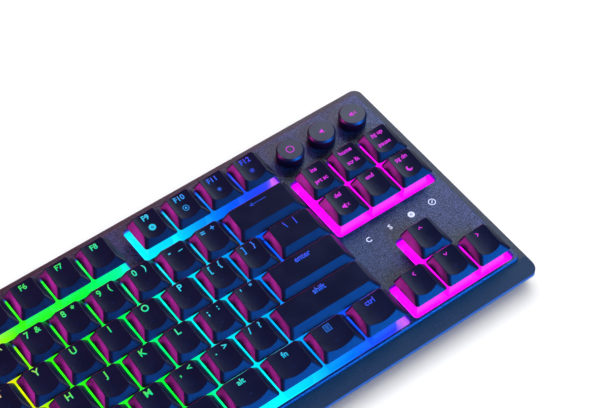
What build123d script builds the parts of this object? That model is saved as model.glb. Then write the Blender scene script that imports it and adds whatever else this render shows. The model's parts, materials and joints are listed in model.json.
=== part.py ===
"""Tenkeyless mechanical keyboard with low keycaps, three round media keys and a lit key bed.

Millimetres, +Z up.  The origin is on the desk, under the middle of the case.
+X is to the typist's right and +Y is away from the typist.
"""

import os
from math import asin, atan2, degrees, radians, sin

from build123d import *

os.makedirs("parts", exist_ok=True)

# ---------------------------------------------------------------- driving sizes

case_width = 361.0
case_depth = 139.5
case_corner = 4.5
key_pitch = 19.05
function_gap = 4.6          # extra space between the function row and the number row
cluster_gap = 4.1           # space between the main keys and the arrow columns
back_margin = 18.2          # from the case's back edge to the function row's centres

# heights above the desk
pad_drop = 1.0              # how far the rubber feet stand out of the underside
floor_thickness = 2.0
board_clearance = 7.0       # between the case floor and the circuit board
board_thickness = 1.6
diffuser_thickness = 0.6
well_depth = 5.4            # from the cover's top down to the diffuser
cover_thickness = 1.6
cap_float = 6.0             # from the cover's top up to the keycap skirts

# walls and fits
case_wall = 2.2
frame_rim = 3.9             # frame left showing beside the cover, left and right
frame_rim_back = 3.6
lip_depth = 9.3             # sloping front lip, in front of the cover
lip_drop = 2.0
lip_edge = 1.8              # upright front edge of the lip
undercut = 7.9              # how far the underside's front edge is set back
bottom_chamfer = 2.5
cover_corner = 2.5
cover_chamfer = 0.6
rim_chamfer = 0.8
well_margin = 0.75          # from the key cells to the edge of their well
well_corner = 2.0
well_wall = 1.2
well_chamfer = 0.4
fit_gap = 0.3               # between pieces that lie loosely beside each other
slide_gap = 0.3             # on each side of a sliding piece
cell_margin = (case_width - 18 * key_pitch - cluster_gap) / 2

# keycaps
cap_gap = 0.95              # between neighbouring skirts
cap_corner = 1.5
cap_side_inset = 3.1        # how much narrower the top is, on each side
cap_front_inset = 4.4
cap_back_inset = 1.0
cap_front_height = 2.4
cap_back_height = 4.0
cap_top_corner = 1.6
cap_wall = 1.1
cap_roof = 1.1
cap_edge_radius = 0.35
scoop_depth = 0.7
key_travel = 3.0

# switches
switch_size = 13.8
switch_base_height = 4.0
switch_top_height = 5.2
switch_top_taper = 8.0
switch_floor = 1.0
switch_cavity = (9.0, 7.0)
switch_ceiling = 1.4
neck = (6.4, 4.8)
flange_height = 2.4
flange_rest_gap = 0.2
boss = (5.6, 4.2)
boss_drop = 1.7             # how far the keycap's boss hangs below its skirt
cross_bar = 1.2
cross_length = (4.0, 3.0)
cross_height = 2.4
cross_gap = 0.05
spring_radius = 1.9
spring_wire = 0.2
spring_pitch = 1.0
spring_bore = 2.4
spring_end_gap = 0.25
light_size = (3.0, 1.6, 1.2)
light_offset = 5.8
contact_size = (3.0, 0.25, 2.4)
contact_spacing = 0.9
contact_offset = 4.4
contact_slot = (4.0, 2.0)

# stabilisers under the wide keys
stabiliser_offset = 11.9
space_stabiliser_offset = 50.0
stabiliser_width = 6.8
stabiliser_back = 5.0
stabiliser_wall = 1.0
stabiliser_stem = (3.6, 5.6)
wire_radius = 0.6
wire_bend = 1.6
wire_pivot = -8.0           # pivot line, in front of the key's centre
wire_pivot_height = 3.6     # above the board
wire_reach = 7.4            # from the pivot line to the end held in the stem

# media buttons
button_radius = 7.0
button_top_radius = 6.15
button_height = 6.4
button_bevel = 0.9
button_travel = 1.0
button_stem_radius = 3.0
tact_size = 6.0
tact_height = 3.4
plunger_radius = 1.7

# indicators, socket and chips
indicator_radius = 0.55
indicator_gap = 0.05
indicator_setback = 3.5     # lamps stand this far behind the home row's centre line
socket_width = 8.94
socket_height = 3.26
socket_length = 9.4
socket_wall = 0.3
socket_tongue = (6.7, 0.7, 6.0)
socket_place = 0.0
chip_size = (7.0, 7.0, 0.9)
driver_size = (5.0, 5.0, 0.8)

# fasteners, feet and supports
screw_radius = 1.25
screw_head_radius = 2.4
screw_head_height = 1.4
screw_length = 11.6
screw_clear = 0.2
screw_boss_radius = 2.7
pilot_radius = 1.05
post_radius = 1.8
pad_size = (34.0, 7.0)
pad_recess = 0.6
pad_inset = 7.0             # front pads' middle, behind the underside's front edge
front_pad_x = 145.0
rear_pad_x = 75.0
foot_width = 38.0
foot_length = 15.0
foot_thickness = 3.0
foot_place = 118.0
foot_axis_inset = 12.0      # hinge line, in front of the case's back edge
foot_axis_height = 2.2      # above the underside
foot_barrel = 1.7
foot_pin_radius = 1.0
foot_pin_length = 1.0
foot_pin_gap = 0.08
pocket_depth = 4.3
pocket_wall = 1.3

# ---------------------------------------------------------------- places worked out from them

underside = pad_drop
floor_top = underside + floor_thickness
board_bottom = floor_top + board_clearance
board_top = board_bottom + board_thickness
diffuser_top = board_top + diffuser_thickness
cover_top = diffuser_top + well_depth
cover_bottom = cover_top - cover_thickness
cap_base = cover_top + cap_float

left_edge = -case_width / 2 + cell_margin
function_y = case_depth / 2 - back_margin
number_y = function_y - key_pitch - function_gap
row_y = {"function": function_y}
for step, row in enumerate(("number", "upper", "home", "lower", "bottom")):
    row_y[row] = number_y - step * key_pitch
arrow_x = 15 * key_pitch + cluster_gap      # left side of the arrow columns, from the left edge

half_width = case_width / 2
half_depth = case_depth / 2
cover_half = half_width - frame_rim
cover_back = half_depth - frame_rim_back
cover_front = -half_depth + lip_depth
frame_bottom = cover_bottom - lip_drop - lip_edge

switch_middle = board_top + switch_base_height
switch_top_z = switch_middle + switch_top_height
switch_floor_z = board_top + switch_floor
ceiling_z = switch_top_z - switch_ceiling
flange_top = ceiling_z - flange_rest_gap
flange_bottom = flange_top - flange_height
boss_bottom = cap_base - boss_drop


# ---------------------------------------------------------------- the key table

def key_place(left_units, row, width_units, offset=0.0):
    """Centre of a key from its left side in pitches, its row and its width."""
    x = left_edge + offset + (left_units + width_units / 2) * key_pitch
    return (x, row_y[row])


def row_of(prefix, row, start, count):
    """A run of single-width keys."""
    return [(f"{prefix}_{number}", start + number, row, 1.0, 0.0) for number in range(count)]


key_groups = {
    "key_escape": [("escape", 0, "function", 1.0, 0.0)],
    "keys_f1_to_f4": row_of("f", "function", 2.0, 4),
    "keys_f5_to_f8": row_of("f", "function", 6.5, 4),
    "keys_f9_to_f12": row_of("f", "function", 11.0, 4),
    "keys_number_row": row_of("number", "number", 0.0, 13),
    "key_backspace": [("backspace", 13.0, "number", 2.0, 0.0)],
    "key_tab": [("tab", 0.0, "upper", 1.5, 0.0)],
    "keys_upper_row": row_of("upper", "upper", 1.5, 12),
    "key_backslash": [("backslash", 13.5, "upper", 1.5, 0.0)],
    "key_caps_lock": [("caps_lock", 0.0, "home", 1.75, 0.0)],
    "keys_home_row": row_of("home", "home", 1.75, 11),
    "key_enter": [("enter", 12.75, "home", 2.25, 0.0)],
    "key_left_shift": [("left_shift", 0.0, "lower", 2.25, 0.0)],
    "keys_lower_row": row_of("lower", "lower", 2.25, 10),
    "key_right_shift": [("right_shift", 12.25, "lower", 2.75, 0.0)],
    "key_left_ctrl": [("left_ctrl", 0.0, "bottom", 1.25, 0.0)],
    "key_system": [("system", 1.25, "bottom", 1.25, 0.0)],
    "key_left_alt": [("left_alt", 2.5, "bottom", 1.25, 0.0)],
    "key_space": [("space", 3.75, "bottom", 6.25, 0.0)],
    "key_right_alt": [("right_alt", 10.0, "bottom", 1.25, 0.0)],
    "key_function": [("function", 11.25, "bottom", 1.25, 0.0)],
    "key_menu": [("menu", 12.5, "bottom", 1.25, 0.0)],
    "key_right_ctrl": [("right_ctrl", 13.75, "bottom", 1.25, 0.0)],
    "key_insert": [("insert", 15.0, "number", 1.0, cluster_gap)],
    "key_home": [("home", 16.0, "number", 1.0, cluster_gap)],
    "key_page_up": [("page_up", 17.0, "number", 1.0, cluster_gap)],
    "key_delete": [("delete", 15.0, "upper", 1.0, cluster_gap)],
    "key_end": [("end", 16.0, "upper", 1.0, cluster_gap)],
    "key_page_down": [("page_down", 17.0, "upper", 1.0, cluster_gap)],
    "key_arrow_up": [("up", 16.0, "lower", 1.0, cluster_gap)],
    "key_arrow_left": [("left", 15.0, "bottom", 1.0, cluster_gap)],
    "key_arrow_down": [("down", 16.0, "bottom", 1.0, cluster_gap)],
    "key_arrow_right": [("right", 17.0, "bottom", 1.0, cluster_gap)],
}

stabilised = {
    "key_backspace": stabiliser_offset,
    "key_enter": stabiliser_offset,
    "key_left_shift": stabiliser_offset,
    "key_right_shift": stabiliser_offset,
    "key_space": space_stabiliser_offset,
}

switch_places = []
for group in key_groups.values():
    for _, left, row, width, offset in group:
        switch_places.append(key_place(left, row, width, offset))

stabiliser_places = []
for group_name, spread in stabilised.items():
    _, left, row, width, offset = key_groups[group_name][0]
    middle_x, middle_y = key_place(left, row, width, offset)
    stabiliser_places += [(middle_x - spread, middle_y), (middle_x + spread, middle_y)]

button_places = [
    (left_edge + arrow_x + (column + 0.5) * key_pitch, function_y) for column in range(3)
]
indicator_places = [
    (left_edge + arrow_x + (0.5 + number * 2 / 3) * key_pitch, row_y["home"] + indicator_setback)
    for number in range(4)
]

# screws rise through the wide ribs of the cover, where there are no keys
screw_places = [
    (left_edge + 1.5 * key_pitch, function_y),
    (left_edge + 6.25 * key_pitch, function_y),
    (left_edge + 10.75 * key_pitch, function_y),
    (left_edge + arrow_x + 2.0 * key_pitch, function_y - 0.25 * key_pitch),
    (left_edge + arrow_x + 0.5 * key_pitch, row_y["home"] - 0.1 * key_pitch),
    (left_edge + arrow_x + 2.5 * key_pitch, row_y["home"] - 0.1 * key_pitch),
    (left_edge + arrow_x + 0.5 * key_pitch, row_y["lower"]),
    (left_edge + arrow_x + 2.5 * key_pitch, row_y["lower"]),
]

# posts hold the board up between the switches
post_places = []
for column in range(0, 15, 2):
    for row in ("number", "home", "bottom"):
        post_places.append((left_edge + (column + 0.75) * key_pitch, row_y[row] - key_pitch / 2))

pad_places = []
for side in (-1, 1):
    pad_places.append((side * front_pad_x, -half_depth + undercut + pad_inset))
    pad_places.append((side * rear_pad_x, half_depth - foot_axis_inset))


# ---------------------------------------------------------------- shared outlines

def well_sheet(grow, height, amount):
    """The key wells' outlines, grown by a margin and raised into a solid."""
    cells = [
        (0.0, "function", 1.0, 1, 0.0),
        (2.0, "function", 4.0, 1, 0.0),
        (6.5, "function", 4.0, 1, 0.0),
        (11.0, "function", 4.0, 1, 0.0),
        (0.0, "number", 15.0, 5, 0.0),
        (15.0, "number", 3.0, 2, cluster_gap),
        (15.0, "bottom", 3.0, 1, cluster_gap),
        (16.0, "lower", 1.0, 1.5, cluster_gap),
    ]
    with BuildPart() as sheet:
        with BuildSketch(Plane.XY.offset(height)):
            for left, row, units, rows, offset in cells:
                x, first_y = key_place(left, row, units, offset)
                middle = first_y - (rows - 1) / 2 * key_pitch
                width = units * key_pitch + 2 * (well_margin + grow)
                depth = rows * key_pitch + 2 * (well_margin + grow)
                with Locations((x, middle)):
                    RectangleRounded(width, depth, well_corner)
        extrude(amount=amount)
    return sheet.part


def case_sheet(inset, height, amount, corner):
    """The case outline, made smaller all round, as a flat solid."""
    with BuildPart() as sheet:
        with BuildSketch(Plane.XY.offset(height)):
            RectangleRounded(case_width - 2 * inset, case_depth - 2 * inset, corner)
        extrude(amount=amount)
    return sheet.part


def front_wedge(points):
    """A prism across the whole width, drawn in the side view as (y, z) points."""
    with BuildPart() as wedge:
        with BuildSketch(Plane.YZ):
            with BuildLine():
                Polyline(*points, close=True)
            make_face()
        extrude(amount=case_width, both=True)
    return wedge.part


# ---------------------------------------------------------------- keycaps

cap_depth = key_pitch - cap_gap
cap_top_front = -cap_depth / 2 + cap_front_inset
cap_top_back = cap_depth / 2 - cap_back_inset
cap_top_length = cap_top_back - cap_top_front
cap_tilt = atan2(cap_back_height - cap_front_height, cap_top_length)
cap_top_middle = (
    0.0,
    (cap_top_front + cap_top_back) / 2,
    cap_base + (cap_front_height + cap_back_height) / 2,
)
cap_top_plane = Plane(cap_top_middle, x_dir=(1, 0, 0), z_dir=Vector(0, 0, 1).rotate(Axis.X, degrees(cap_tilt)))


def make_keycap(units, arms=()):
    """A hollow keycap with its mounting boss, and one more boss at each stabiliser arm."""
    skirt = units * key_pitch - cap_gap
    top = skirt - 2 * cap_side_inset
    scooped = units < 1.4
    top_drop = cap_roof + (scoop_depth if scooped else 0.0)
    with BuildPart() as cap:
        with BuildSketch(Plane.XY.offset(cap_base)):
            RectangleRounded(skirt, cap_depth, cap_corner)
        with BuildSketch(cap_top_plane):
            RectangleRounded(top, cap_top_length, cap_top_corner)
        loft()
        if scooped:
            scoop_radius = top**2 / (8 * scoop_depth) + scoop_depth / 2
            middle = cap_top_plane.offset(scoop_radius - scoop_depth).origin
            with BuildSketch(Plane(middle, x_dir=(1, 0, 0), z_dir=cap_top_plane.y_dir)):
                Circle(scoop_radius)
            extrude(amount=cap_depth, both=True, mode=Mode.SUBTRACT)
        rim = cap.faces().sort_by(Axis.Z)[-1].edges()
        fillet(rim, cap_edge_radius)
        with BuildSketch(Plane.XY.offset(cap_base)):
            RectangleRounded(skirt - 2 * cap_wall, cap_depth - 2 * cap_wall, cap_corner - cap_wall / 2)
        with BuildSketch(cap_top_plane.offset(-top_drop)):
            RectangleRounded(top - cap_wall, cap_top_length - cap_wall, cap_top_corner - cap_wall / 2)
        loft(mode=Mode.SUBTRACT)
        with BuildSketch(Plane.XY.offset(boss_bottom)):
            with Locations((0, 0), *[(x, 0) for x in arms]):
                Rectangle(*boss)
        extrude(amount=cap_base + cap_front_height - scoop_depth / 2 - boss_bottom)
        with BuildSketch(Plane.XY.offset(boss_bottom)):
            with Locations((0, 0), *[(x, 0) for x in arms]):
                Rectangle(cross_length[0] + 2 * cross_gap, cross_bar + 2 * cross_gap)
                Rectangle(cross_bar + 2 * cross_gap, cross_length[1] + 2 * cross_gap)
        extrude(amount=cross_height + cross_gap, mode=Mode.SUBTRACT)
    return cap.part


def make_slider():
    """The switch's moving stem: a flange with the spring's bore, a neck and the cross on top."""
    with BuildPart() as slider:
        with BuildSketch(Plane.XY.offset(flange_bottom)):
            Rectangle(switch_cavity[0] - 2 * slide_gap, switch_cavity[1] - 2 * slide_gap)
        extrude(amount=flange_height)
        with BuildSketch(Plane.XY.offset(flange_top)):
            Rectangle(*neck)
        extrude(amount=boss_bottom - cross_gap - flange_top)
        with BuildSketch(Plane.XY.offset(boss_bottom - cross_gap)):
            Rectangle(cross_length[0], cross_bar)
            Rectangle(cross_bar, cross_length[1])
        extrude(amount=cross_height)
        with BuildSketch(Plane.XY.offset(flange_bottom)):
            Circle(spring_bore)
        extrude(amount=flange_height - 0.6, mode=Mode.SUBTRACT)
    return slider.part


def make_stabiliser_stem():
    """The stem under a wide key's end, with a window that the wire's end sits in."""
    low = board_top + key_travel + slide_gap
    window_middle = board_top + wire_pivot_height + key_travel / 2
    window_height = 2 * wire_radius + 2 * slide_gap + 0.9
    with BuildPart() as stem:
        with BuildSketch(Plane.XY.offset(low)):
            Rectangle(*stabiliser_stem)
        extrude(amount=boss_bottom - cross_gap - low)
        with BuildSketch(Plane.XY.offset(boss_bottom - cross_gap)):
            Rectangle(stabiliser_stem[0], cross_bar)
            Rectangle(cross_bar, cross_length[1])
        extrude(amount=cross_height)
        with BuildSketch(Plane.XY.offset(window_middle - window_height / 2)):
            with Locations((0, -stabiliser_stem[1] / 4)):
                Rectangle(2 * wire_radius + 2 * slide_gap, stabiliser_stem[1] / 2 + 1.2)
        extrude(amount=window_height, mode=Mode.SUBTRACT)
    return stem.part


slider = make_slider()
stabiliser_stem_part = make_stabiliser_stem()
cap_shapes = {}
key_parts = {}
for node, keys in key_groups.items():
    spread = stabilised.get(node, 0.0)
    arms = (-spread, spread) if spread else ()
    with BuildPart() as key_node:
        for _, left, row, width, offset in keys:
            shape = (width, spread)
            if shape not in cap_shapes:
                cap_shapes[shape] = make_keycap(width, arms)
            x, y = key_place(left, row, width, offset)
            with Locations((x, y, 0)):
                add(cap_shapes[shape])
                add(slider)
            for arm in arms:
                with Locations((x + arm, y, 0)):
                    add(stabiliser_stem_part)
    key_node.part.label = node
    key_parts[node] = key_node.part
    export_step(key_node.part, f"parts/{node}.step")
    print(node, len(key_node.part.solids()))


# ---------------------------------------------------------------- switches

def write_piece(part, node):
    """Name a finished piece and write its file."""
    part.label = node
    export_step(part, f"parts/{node}.step")
    print(node, len(part.solids()))


with BuildPart() as one_base:
    with BuildSketch(Plane.XY.offset(board_top)):
        Rectangle(switch_size, switch_size)
    extrude(amount=switch_base_height)
    with BuildSketch(Plane.XY.offset(switch_floor_z)):
        Rectangle(*switch_cavity)
        with Locations((0, -contact_offset)):
            Rectangle(*contact_slot)
    extrude(amount=switch_base_height, mode=Mode.SUBTRACT)
    with BuildSketch(Plane.XY.offset(board_top)):
        with Locations((0, light_offset)):
            Rectangle(light_size[0] + 2 * fit_gap, light_size[1] + 2 * fit_gap)
    extrude(amount=switch_base_height, mode=Mode.SUBTRACT)

with BuildPart() as one_top:
    with BuildSketch(Plane.XY.offset(switch_middle)):
        Rectangle(switch_size, switch_size)
    extrude(amount=switch_top_height, taper=switch_top_taper)
    with BuildSketch(Plane.XY.offset(switch_middle)):
        Rectangle(*switch_cavity)
    extrude(amount=switch_top_height - switch_ceiling, mode=Mode.SUBTRACT)
    with BuildSketch(Plane.XY.offset(ceiling_z)):
        Rectangle(neck[0] + 2 * slide_gap, neck[1] + 2 * slide_gap)
    extrude(amount=switch_ceiling, mode=Mode.SUBTRACT)

spring_bottom = switch_floor_z + spring_wire + spring_end_gap
spring_top = flange_top - 0.6 - spring_wire - spring_end_gap
with BuildPart() as one_spring:
    with BuildLine():
        coil = Helix(pitch=spring_pitch, height=spring_top - spring_bottom, radius=spring_radius)
    with BuildSketch(Plane(coil @ 0, z_dir=coil % 0)):
        Circle(spring_wire)
    sweep(path=coil, is_frenet=True)
spring_shape = one_spring.part.moved(Location((0, 0, spring_bottom)))

with BuildPart() as one_contact_pair:
    with BuildSketch(Plane.XY.offset(switch_floor_z)):
        with GridLocations(0, contact_spacing, 1, 2):
            with Locations((0, -contact_offset)):
                Rectangle(contact_size[0], contact_size[1])
    extrude(amount=contact_size[2])

with BuildPart() as one_light:
    with BuildSketch(Plane.XY.offset(board_top)):
        Rectangle(light_size[0], light_size[1])
    extrude(amount=light_size[2])

with BuildPart() as switch_bases:
    with Locations(*[(x, y, 0) for x, y in switch_places]):
        add(one_base.part)
write_piece(switch_bases.part, "switch_bases")

with BuildPart() as switch_tops:
    with Locations(*[(x, y, 0) for x, y in switch_places]):
        add(one_top.part)
write_piece(switch_tops.part, "switch_tops")

with BuildPart() as switch_springs:
    with Locations(*[(x, y, 0) for x, y in switch_places]):
        add(spring_shape)
write_piece(switch_springs.part, "switch_springs")

with BuildPart() as switch_contacts:
    with Locations(*[(x, y, 0) for x, y in switch_places]):
        add(one_contact_pair.part)
write_piece(switch_contacts.part, "switch_contacts")

button_light_places = [(x, y - tact_size / 2 - light_size[1]) for x, y in button_places]
light_places = [(x, y + light_offset) for x, y in switch_places]
with BuildPart() as key_lights:
    with Locations(*[(x, y, 0) for x, y in light_places + button_light_places + indicator_places]):
        add(one_light.part)
write_piece(key_lights.part, "key_lights")


# ---------------------------------------------------------------- stabilisers

pivot_z = board_top + wire_pivot_height
rest_tilt = asin(key_travel / 2 / wire_reach)
bar_hole = 2 * wire_radius + 2 * slide_gap
stabiliser_front = wire_pivot - bar_hole / 2 - stabiliser_wall
stabiliser_height = boss_bottom - key_travel - slide_gap - board_top

with BuildPart() as one_stabiliser:
    with BuildSketch(Plane.XY.offset(board_top)):
        with Locations((0, (stabiliser_front + stabiliser_back) / 2)):
            Rectangle(stabiliser_width, stabiliser_back - stabiliser_front)
    extrude(amount=stabiliser_height)
    # the stem's shaft, open at the bottom and the top
    with BuildSketch(Plane.XY.offset(board_top)):
        Rectangle(stabiliser_stem[0] + 2 * slide_gap, stabiliser_stem[1] + 2 * slide_gap)
    extrude(amount=stabiliser_height, mode=Mode.SUBTRACT)
    # the wire's arm swings in this slot, and its bar turns in the cross hole
    with BuildSketch(Plane.XY.offset(board_top)):
        with Locations((0, (stabiliser_front + stabiliser_wall) / 2)):
            Rectangle(bar_hole + 0.4, -stabiliser_front - stabiliser_wall)
    extrude(amount=stabiliser_height, mode=Mode.SUBTRACT)
    with BuildSketch(Plane.YZ.offset(-stabiliser_width)):
        with Locations((wire_pivot, pivot_z)):
            Rectangle(bar_hole, bar_hole)
    extrude(amount=2 * stabiliser_width, mode=Mode.SUBTRACT)

with BuildPart() as stabiliser_housings:
    with Locations(*[(x, y, 0) for x, y in stabiliser_places]):
        add(one_stabiliser.part)
write_piece(stabiliser_housings.part, "stabiliser_housings")

for node, spread in stabilised.items():
    _, left, row, width, offset = key_groups[node][0]
    middle_x, middle_y = key_place(left, row, width, offset)
    arm_y = wire_reach * (1 - (key_travel / 2 / wire_reach) ** 2) ** 0.5
    end_y = middle_y + wire_pivot + arm_y
    end_z = pivot_z + key_travel / 2
    bar_y = middle_y + wire_pivot
    with BuildPart() as wire:
        with BuildLine() as wire_line:
            route = Polyline(
                (middle_x - spread, end_y, end_z),
                (middle_x - spread, bar_y, pivot_z),
                (middle_x + spread, bar_y, pivot_z),
                (middle_x + spread, end_y, end_z),
            )
            fillet(route.vertices()[1:3], wire_bend)
        with BuildSketch(Plane(wire_line.line @ 0, z_dir=wire_line.line % 0)):
            Circle(wire_radius)
        sweep()
    write_piece(wire.part, node.replace("key_", "wire_"))


# ---------------------------------------------------------------- media buttons

button_top = cover_top + button_height
button_bottom = cover_top + button_travel + fit_gap
plunger_top = board_top + tact_height + button_travel + fit_gap
plunger_low = board_top + tact_height - 1.2
for name, (x, y) in zip(("button_ring", "button_volume_down", "button_volume_up"), button_places):
    with BuildPart() as button:
        with BuildSketch(Plane.XZ):
            with BuildLine():
                Polyline(
                    (0, button_top),
                    (button_top_radius, button_top),
                    (button_radius, button_top - button_bevel),
                    (button_radius, button_bottom),
                    (button_stem_radius, button_bottom),
                    (button_stem_radius, plunger_top),
                    (plunger_radius, plunger_top),
                    (plunger_radius, plunger_low),
                    (0, plunger_low),
                    close=True,
                )
            make_face()
        revolve(axis=Axis.Z)
    write_piece(button.part.moved(Location((x, y, 0))), name)

with BuildPart() as tact_switches:
    with BuildSketch(Plane.XY.offset(board_top)):
        with Locations(*button_places):
            Rectangle(tact_size, tact_size)
    extrude(amount=tact_height)
    with BuildSketch(Plane.XY.offset(board_top + 0.8)):
        with Locations(*button_places):
            Circle(plunger_radius + slide_gap)
    extrude(amount=tact_height, mode=Mode.SUBTRACT)
write_piece(tact_switches.part, "media_switches")


# ---------------------------------------------------------------- circuit board and light guide

board_half = half_width - case_wall - 1.8
board_back = half_depth - case_wall - 3.0
board_front = cover_front + 1.3
board_middle = (board_front + board_back) / 2

with BuildPart() as circuit_board:
    with BuildSketch(Plane.XY.offset(board_bottom)):
        with Locations((0, board_middle)):
            RectangleRounded(2 * board_half, board_back - board_front, 2.0)
        with Locations(*screw_places):
            Circle(screw_radius + screw_clear, mode=Mode.SUBTRACT)
    extrude(amount=board_thickness)
write_piece(circuit_board.part, "circuit_board")

with BuildPart() as diffuser:
    with BuildSketch(Plane.XY.offset(board_top)):
        with Locations((0, board_middle)):
            RectangleRounded(2 * board_half, board_back - board_front, 2.0)
        with Locations(*switch_places):
            Rectangle(switch_size + 2 * fit_gap, switch_size + 2 * fit_gap, mode=Mode.SUBTRACT)
        with Locations(*[(x, y + (stabiliser_front + stabiliser_back) / 2) for x, y in stabiliser_places]):
            Rectangle(
                stabiliser_width + 2 * fit_gap,
                stabiliser_back - stabiliser_front + 2 * fit_gap,
                mode=Mode.SUBTRACT,
            )
        with Locations(*button_places):
            Rectangle(tact_size + 2 * fit_gap, tact_size + 2 * fit_gap, mode=Mode.SUBTRACT)
        with Locations(*button_light_places, *indicator_places):
            Rectangle(light_size[0] + 2 * fit_gap, light_size[1] + 2 * fit_gap, mode=Mode.SUBTRACT)
        with Locations(*screw_places):
            Circle(screw_boss_radius + fit_gap, mode=Mode.SUBTRACT)
    extrude(amount=diffuser_thickness)
write_piece(diffuser.part, "light_diffuser")

chip_places = [(-100.0, 6.0), (-20.0, 6.0), (60.0, 6.0)]
with BuildPart() as chips:
    with BuildSketch(Plane.XY.offset(board_bottom - driver_size[2])):
        with Locations(*[(x, number_y - key_pitch) for x, _ in chip_places]):
            Rectangle(driver_size[0], driver_size[1])
    extrude(amount=driver_size[2])
    with BuildSketch(Plane.XY.offset(board_bottom - chip_size[2])):
        with Locations((chip_places[1][0], function_y - 6.0)):
            Rectangle(chip_size[0], chip_size[1])
    extrude(amount=chip_size[2])
write_piece(chips.part, "controller_chips")

# the socket hangs under the board's back edge, with its mouth in the case's back wall
socket_middle_z = board_bottom - socket_height / 2
socket_plane = Plane((socket_place, half_depth - fit_gap, socket_middle_z), x_dir=(1, 0, 0), z_dir=(0, -1, 0))
with BuildPart() as usb_socket:
    with BuildSketch(socket_plane):
        SlotOverall(socket_width, socket_height)
    extrude(amount=socket_length)
    with BuildSketch(socket_plane):
        SlotOverall(socket_width - 2 * socket_wall, socket_height - 2 * socket_wall)
    extrude(amount=socket_length - 1.2, mode=Mode.SUBTRACT)
    with BuildSketch(socket_plane.offset(socket_length - 1.2 - socket_tongue[2])):
        Rectangle(socket_tongue[0], socket_tongue[1])
    extrude(amount=socket_tongue[2])
write_piece(usb_socket.part, "usb_socket")


# ---------------------------------------------------------------- top cover

with BuildPart() as top_cover:
    with BuildSketch(Plane.XY.offset(cover_bottom)):
        with Locations((0, (cover_front + cover_back) / 2)):
            RectangleRounded(2 * cover_half, cover_back - cover_front, cover_corner)
    extrude(amount=cover_thickness)
    chamfer(top_cover.faces().sort_by(Axis.Z)[-1].edges(), cover_chamfer)
    add(well_sheet(well_wall, diffuser_top + fit_gap, cover_bottom - diffuser_top - fit_gap))
    with BuildSketch(Plane.XY.offset(board_top)):
        with Locations(*screw_places):
            Circle(screw_boss_radius)
    extrude(amount=cover_bottom - board_top)
    add(well_sheet(0.0, board_top, well_depth + 2.0), mode=Mode.SUBTRACT)
    rims = top_cover.faces().sort_by(Axis.Z)[-1].inner_wires()
    chamfer([edge for wire_loop in rims for edge in wire_loop.edges()], well_chamfer)
    with BuildSketch(Plane.XY.offset(cover_bottom)):
        with Locations(*button_places):
            Circle(button_stem_radius + slide_gap)
        with Locations(*indicator_places):
            Circle(indicator_radius + indicator_gap)
    extrude(amount=cover_thickness, mode=Mode.SUBTRACT)
    with BuildSketch(Plane.XY.offset(board_top)):
        with Locations(*screw_places):
            Circle(screw_radius + indicator_gap)
    extrude(amount=cover_bottom - board_top - 0.8, mode=Mode.SUBTRACT)
write_piece(top_cover.part, "top_cover")

lens_bottom = board_top + light_size[2] + fit_gap
with BuildPart() as indicator_lenses:
    with BuildSketch(Plane.XY.offset(lens_bottom)):
        with Locations(*indicator_places):
            Circle(indicator_radius)
    extrude(amount=cover_top - lens_bottom)
write_piece(indicator_lenses.part, "indicator_lenses")


# ---------------------------------------------------------------- frame and case

frame_inner_side = cover_half - 0.85
frame_inner_back = cover_back - 1.2
frame_inner_front = cover_front + 0.35
with BuildPart() as side_frame:
    add(case_sheet(0.0, frame_bottom, cover_bottom - frame_bottom, case_corner))
    top_edges = side_frame.faces().sort_by(Axis.Z)[-1].edges()
    chamfer(top_edges.sort_by(Axis.Y)[1:], rim_chamfer)
    add(
        front_wedge([
            (cover_front, cover_bottom),
            (-half_depth - 1, cover_bottom - lip_drop * (lip_depth + 1) / lip_depth),
            (-half_depth - 1, cover_bottom + 1),
            (cover_front, cover_bottom + 1),
        ]),
        mode=Mode.SUBTRACT,
    )
    with BuildSketch(Plane.XY.offset(frame_bottom)):
        with Locations((0, (frame_inner_front + frame_inner_back) / 2)):
            RectangleRounded(2 * frame_inner_side, frame_inner_back - frame_inner_front, 1.5)
    extrude(amount=cover_bottom - frame_bottom, mode=Mode.SUBTRACT)
write_piece(side_frame.part, "side_frame")

foot_axis_y = half_depth - foot_axis_inset
foot_axis_z = underside + foot_axis_height
foot_places = [(-foot_place, foot_axis_y), (foot_place, foot_axis_y)]
pocket_front = foot_axis_y - foot_length - 1.0
pocket_back = foot_axis_y + foot_barrel + 1.2
pocket_middle = (pocket_front + pocket_back) / 2
pocket_width = foot_width + 2 * slide_gap
pocket_length = pocket_back - pocket_front
cavity_front = cover_front + 0.5

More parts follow.
